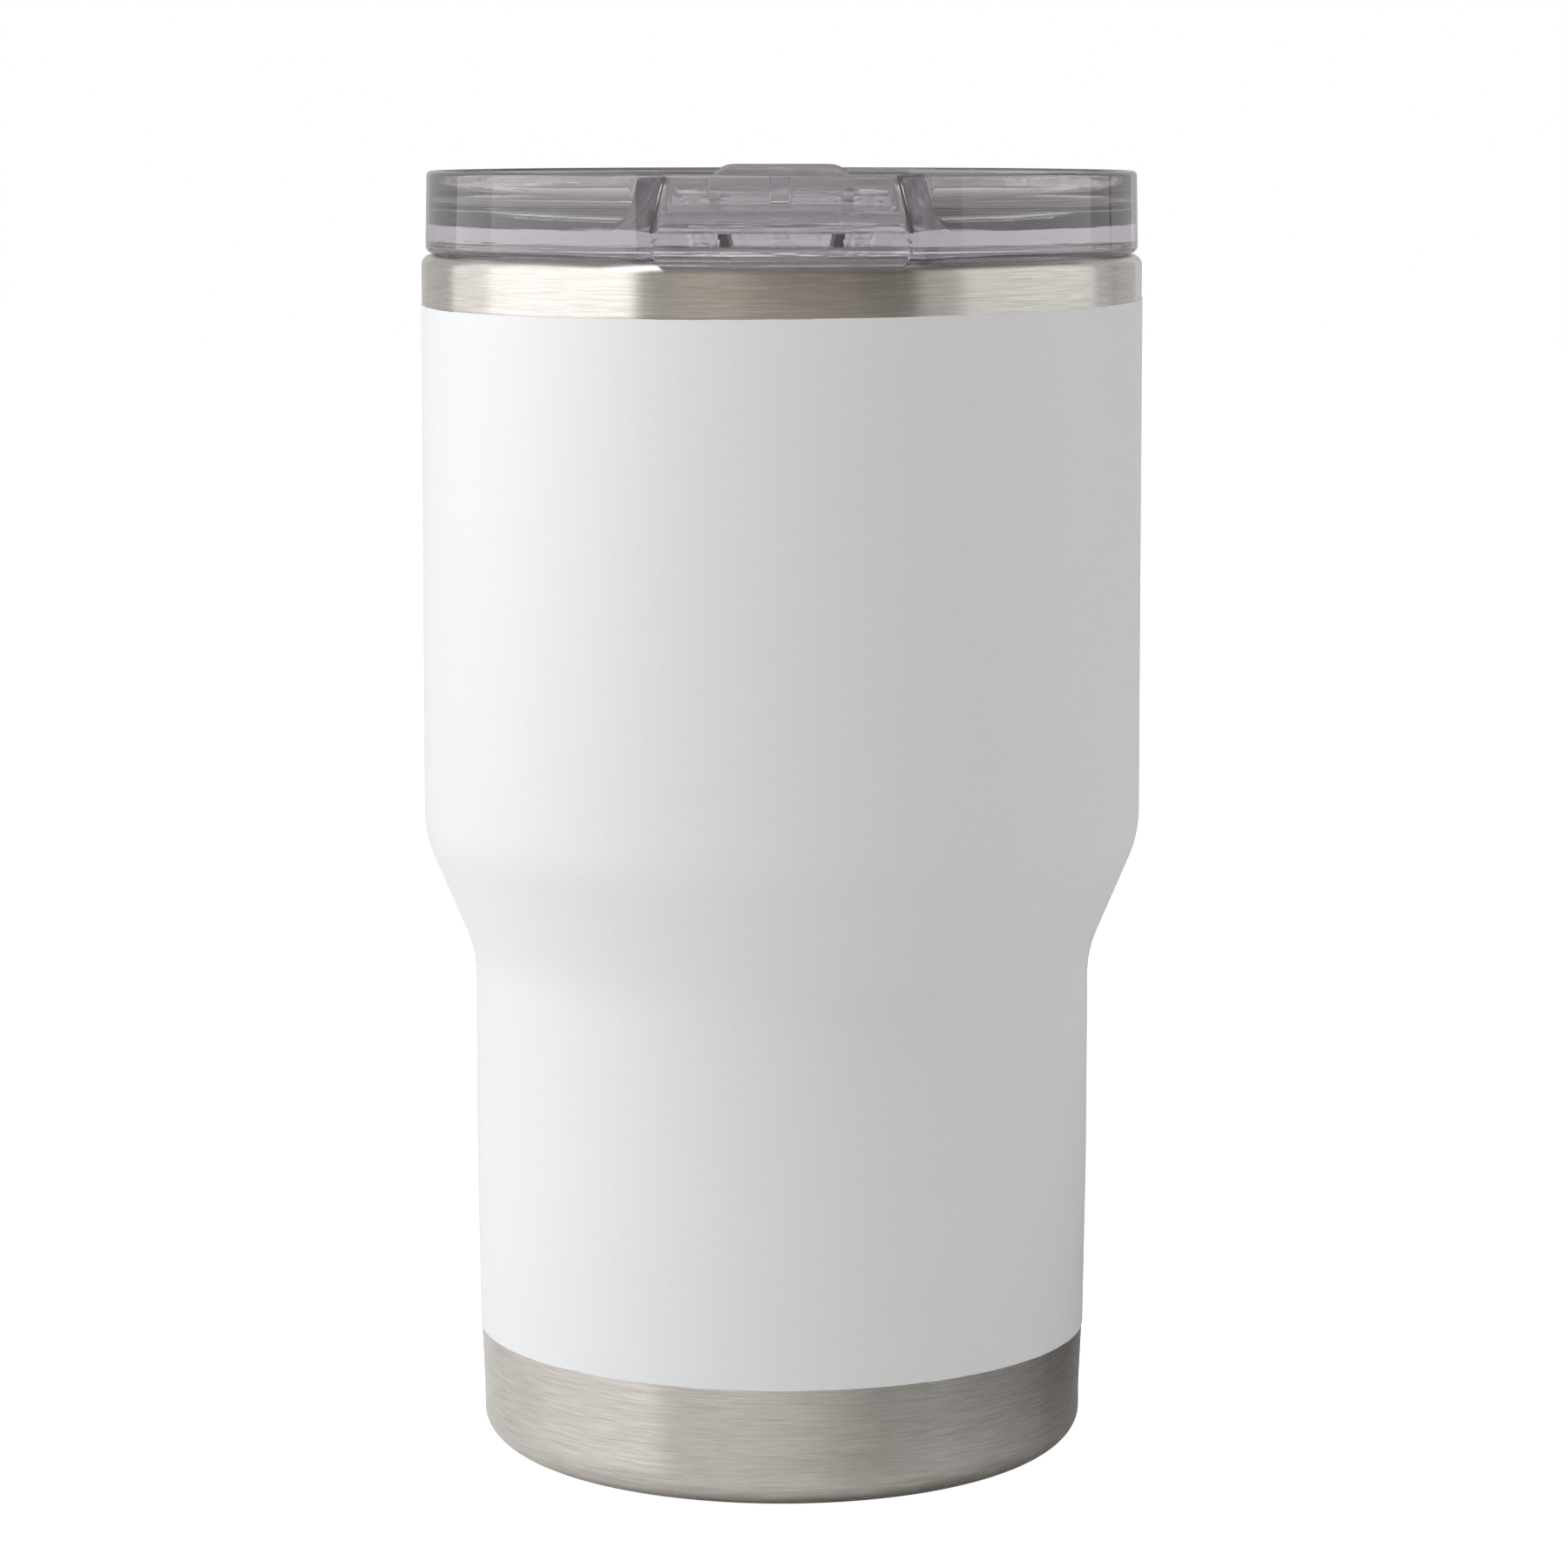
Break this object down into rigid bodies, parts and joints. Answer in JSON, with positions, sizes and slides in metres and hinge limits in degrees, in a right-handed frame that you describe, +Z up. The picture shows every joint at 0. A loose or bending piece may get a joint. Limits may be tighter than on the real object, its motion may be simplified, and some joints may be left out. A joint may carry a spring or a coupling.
{
  "type": "insulated tumbler with lid",
  "caption": "Double-walled steel tumbler that narrows at its waist, powder coated, with a clear press-in lid and a sliding drink closure.",
  "frame": {"origin": "centre of the foot ring, on the plane the tumbler stands on", "axes": "+Z up along the cup's axis of revolution, -Y towards the drinking opening and the lid's lift tab, +X to the right seen from that side"},
  "size_m": [0.0886, 0.0891, 0.1595],
  "materials": {
    "brushed_steel": "stainless steel brushed round the cup",
    "powder_coat": "satin off-white polyester powder coat with a very fine grain",
    "drawn_steel": "plain drawn stainless steel",
    "copper_foil": "thin copper foil",
    "solder_glass": "dark fused solder glass",
    "getter_metal": "pressed metal powder",
    "lid_plastic": "clear moulded copolyester with a faint smoky tint",
    "gasket_silicone": "translucent white silicone",
    "slider_plastic": "clear moulded copolyester"
  },
  "bodies": {
    "cup": {"outer_shell": "brushed_steel", "powder_coat": "powder_coat", "inner_liner": "drawn_steel", "copper_foil_wrap": "copper_foil", "vacuum_base": "drawn_steel", "sealing_bead": "solder_glass", "base_cover": "brushed_steel", "getter_cup": "drawn_steel", "getter_pellet": "getter_metal"},
    "lid": {"lid_body": "lid_plastic", "lid_gasket": "gasket_silicone"},
    "slider": {"slider": "slider_plastic"}
  },
  "joints": [
    {"name": "lid_lift", "type": "slide", "parent": "cup", "child": "lid", "axis": [0, 0, 1], "range_m": [0, 0.08]},
    {"name": "slider_slide", "type": "slide", "parent": "lid", "child": "slider", "axis": [0, 1, 0], "range_m": [0, 0.015]}
  ]
}
